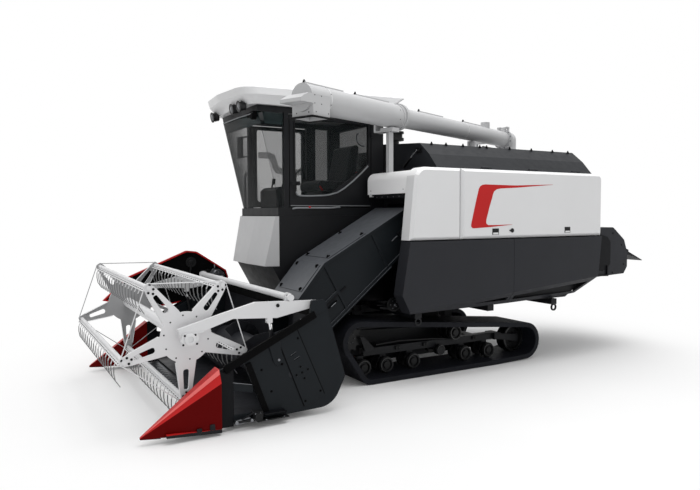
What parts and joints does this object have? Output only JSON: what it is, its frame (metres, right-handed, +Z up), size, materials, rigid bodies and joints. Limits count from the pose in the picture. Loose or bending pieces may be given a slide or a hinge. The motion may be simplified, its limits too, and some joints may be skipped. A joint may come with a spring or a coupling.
{
  "type": "tracked combine harvester",
  "caption": "Tracked combine harvester with an enclosed cab, a reel header on a lifting feeder house and a swinging unloading auger.",
  "frame": {"origin": "middle of the bottom of the whole machine's box, on the ground under the tracks", "axes": "+X forward to the header, +Y to the machine's left, +Z up"},
  "size_m": [6.1527, 2.5892, 2.8974],
  "materials": {
    "white": "gloss",
    "charcoal": "satin",
    "frame_black": "satin",
    "red": "gloss",
    "reel_grey": "satin",
    "steel": "worn",
    "rod_chrome": "polished",
    "cast": "rough",
    "rubber": "matt",
    "glass": "clear",
    "fabric": "woven",
    "plastic": "grained",
    "lamp": "gloss"
  },
  "bodies": {
    "machine": {"chassis_frame": "frame_black", "left_track": "rubber", "right_track": "rubber", "track_frames": "frame_black", "track_rollers": "cast", "transmission": "cast", "engine_block": "cast", "thresher_body": "charcoal", "grain_tank": "white", "top_cover": "charcoal", "front_side_cover": "white", "lower_side_panels": "charcoal", "right_side_panel": "charcoal", "feeder_hood": "white", "straw_chopper": "charcoal", "cab_base": "charcoal", "radiator_screen": "frame_black", "cab_nose": "white", "cab_frame": "frame_black", "cab_roof": "white", "cab_glass": "glass", "seat_base": "plastic", "seat_pad": "fabric", "cab_console": "plastic", "cab_mirror": "plastic", "work_lights": "lamp", "boarding_steps": "frame_black", "air_intake": "plastic", "unloading_riser": "white", "auger_cradle": "white", "mid_rest": "white"},
    "header": {"feeder_house": "charcoal", "header_frame": "frame_black", "header_end_plates": "charcoal", "cutter_bar": "steel", "knife_drive": "steel", "dividers": "red", "reel_shield": "frame_black"},
    "header_auger": {"header_auger": "charcoal"},
    "reel_arms": {"reel_arms": "reel_grey"},
    "reel": {"reel_rotor": "reel_grey"},
    "lift_cylinder_barrel": {"lift_cylinder_barrel": "frame_black"},
    "lift_cylinder_rod": {"lift_cylinder_rod": "rod_chrome"},
    "reel_cylinder_barrels": {"reel_cylinder_barrels": "frame_black"},
    "reel_cylinder_rods": {"reel_cylinder_rods": "rod_chrome"},
    "auger_elbow": {"auger_elbow": "white"},
    "auger_tube": {"auger_tube": "white"},
    "auger_cylinder_barrel": {"auger_cylinder_barrel": "frame_black"},
    "auger_cylinder_rod": {"auger_cylinder_rod": "rod_chrome"},
    "left_door": {"left_door": "frame_black", "left_door_glass": "glass"},
    "right_door": {"right_door": "frame_black", "right_door_glass": "glass"},
    "side_cover": {"side_cover": "white"},
    "tail_deflector": {"tail_deflector": "frame_black"},
    "tine_bar_1": {"tine_bar_1": "reel_grey"},
    "tine_bar_2": {"tine_bar_2": "reel_grey"},
    "tine_bar_3": {"tine_bar_3": "reel_grey"},
    "tine_bar_4": {"tine_bar_4": "reel_grey"},
    "tine_bar_5": {"tine_bar_5": "reel_grey"}
  },
  "joints": [
    {"name": "header_lift", "type": "hinge", "parent": "machine", "child": "header", "pos_m": [0.344, 0.347, 1.432], "axis": [0, -1, 0], "range_deg": [0, 18]},
    {"name": "header_auger_spin", "type": "hinge", "parent": "header", "child": "header_auger", "pos_m": [1.788, -0.003, 0.362], "axis": [0, 1, 0], "continuous": true},
    {"name": "reel_lift", "type": "hinge", "parent": "header", "child": "reel_arms", "pos_m": [1.569, -0.003, 0.898], "axis": [0, -1, 0], "range_deg": [0, 20]},
    {"name": "reel_spin", "type": "hinge", "parent": "reel_arms", "child": "reel", "pos_m": [2.581, -0.003, 0.712], "axis": [0, 1, 0], "continuous": true},
    {"name": "lift_barrel_turn", "type": "hinge", "parent": "machine", "child": "lift_cylinder_barrel", "pos_m": [0.579, 0.107, 0.638], "axis": [0, -1, 0], "range_deg": [0, 24.65]},
    {"name": "lift_rod_slide", "type": "slide", "parent": "lift_cylinder_barrel", "child": "lift_cylinder_rod", "axis": [0.9536, 0, -0.3009], "range_m": [0, 0.2413]},
    {"name": "reel_barrel_turn", "type": "hinge", "parent": "header", "child": "reel_cylinder_barrels", "pos_m": [1.899, -0.003, 0.483], "axis": [0, -1, 0], "range_deg": [0, 1.46]},
    {"name": "reel_rod_slide", "type": "slide", "parent": "reel_cylinder_barrels", "child": "reel_cylinder_rods", "axis": [0.1752, 0, 0.9845], "range_m": [0, 0.1386]},
    {"name": "auger_swing", "type": "hinge", "parent": "machine", "child": "auger_elbow", "pos_m": [-2.311, -0.683, 2.42], "axis": [0, 0, 1], "range_deg": [0, 100]},
    {"name": "auger_lift", "type": "hinge", "parent": "auger_elbow", "child": "auger_tube", "pos_m": [-2.15769, -0.62199, 2.747], "axis": [0.3697, -0.9291, 0], "range_deg": [0, 20]},
    {"name": "auger_barrel_turn", "type": "hinge", "parent": "auger_elbow", "child": "auger_cylinder_barrel", "pos_m": [-2.185, -0.83735, 2.48], "axis": [0.3697, -0.9291, 0], "range_deg": [0, 14.94]},
    {"name": "auger_rod_slide", "type": "slide", "parent": "auger_cylinder_barrel", "child": "auger_cylinder_rod", "axis": [0.9291, 0.3697, 0], "range_m": [0, 0.0875]},
    {"name": "left_door_hinge", "type": "hinge", "parent": "machine", "child": "left_door", "pos_m": [0.284, -0.001, 1.87], "axis": [0, 0, 1], "range_deg": [0, 30]},
    {"name": "right_door_hinge", "type": "hinge", "parent": "machine", "child": "right_door", "pos_m": [0.579, -1.025, 1.87], "axis": [0, 0, -1], "range_deg": [0, 80]},
    {"name": "side_cover_hinge", "type": "hinge", "parent": "machine", "child": "side_cover", "pos_m": [-1.166, 0.875, 2.069], "axis": [1, 0, 0], "range_deg": [0, 80]},
    {"name": "tail_hinge", "type": "hinge", "parent": "machine", "child": "tail_deflector", "pos_m": [-2.79, 0.212, 1.164], "axis": [0, 1, 0], "range_deg": [-15, 40]},
    {"name": "tine_bar_1_spin", "type": "hinge", "parent": "reel", "child": "tine_bar_1", "pos_m": [2.58912, -0.003, 0.24707], "axis": [0, 1, 0], "continuous": true},
    {"name": "tine_bar_2_spin", "type": "hinge", "parent": "reel", "child": "tine_bar_2", "pos_m": [3.02568, -0.003, 0.57605], "axis": [0, 1, 0], "continuous": true},
    {"name": "tine_bar_3_spin", "type": "hinge", "parent": "reel", "child": "tine_bar_3", "pos_m": [2.84771, -0.003, 1.09291], "axis": [0, 1, 0], "continuous": true},
    {"name": "tine_bar_4_spin", "type": "hinge", "parent": "reel", "child": "tine_bar_4", "pos_m": [2.30116, -0.003, 1.08337], "axis": [0, 1, 0], "continuous": true},
    {"name": "tine_bar_5_spin", "type": "hinge", "parent": "reel", "child": "tine_bar_5", "pos_m": [2.14133, -0.003, 0.56061], "axis": [0, 1, 0], "continuous": true}
  ],
  "couplings": [
    {"joint": "lift_barrel_turn", "follows": "header_lift", "ratio": 1.3681},
    {"joint": "lift_rod_slide", "follows": "header_lift", "m_per_rad": 0.76755},
    {"joint": "reel_barrel_turn", "follows": "reel_lift", "ratio": 0.07198},
    {"joint": "reel_rod_slide", "follows": "reel_lift", "m_per_rad": 0.39637},
    {"joint": "auger_barrel_turn", "follows": "auger_lift", "ratio": 0.74595},
    {"joint": "auger_rod_slide", "follows": "auger_lift", "m_per_rad": 0.25008},
    {"joint": "tine_bar_1_spin", "follows": "reel_spin", "ratio": -1},
    {"joint": "tine_bar_2_spin", "follows": "reel_spin", "ratio": -1},
    {"joint": "tine_bar_3_spin", "follows": "reel_spin", "ratio": -1},
    {"joint": "tine_bar_4_spin", "follows": "reel_spin", "ratio": -1},
    {"joint": "tine_bar_5_spin", "follows": "reel_spin", "ratio": -1}
  ]
}
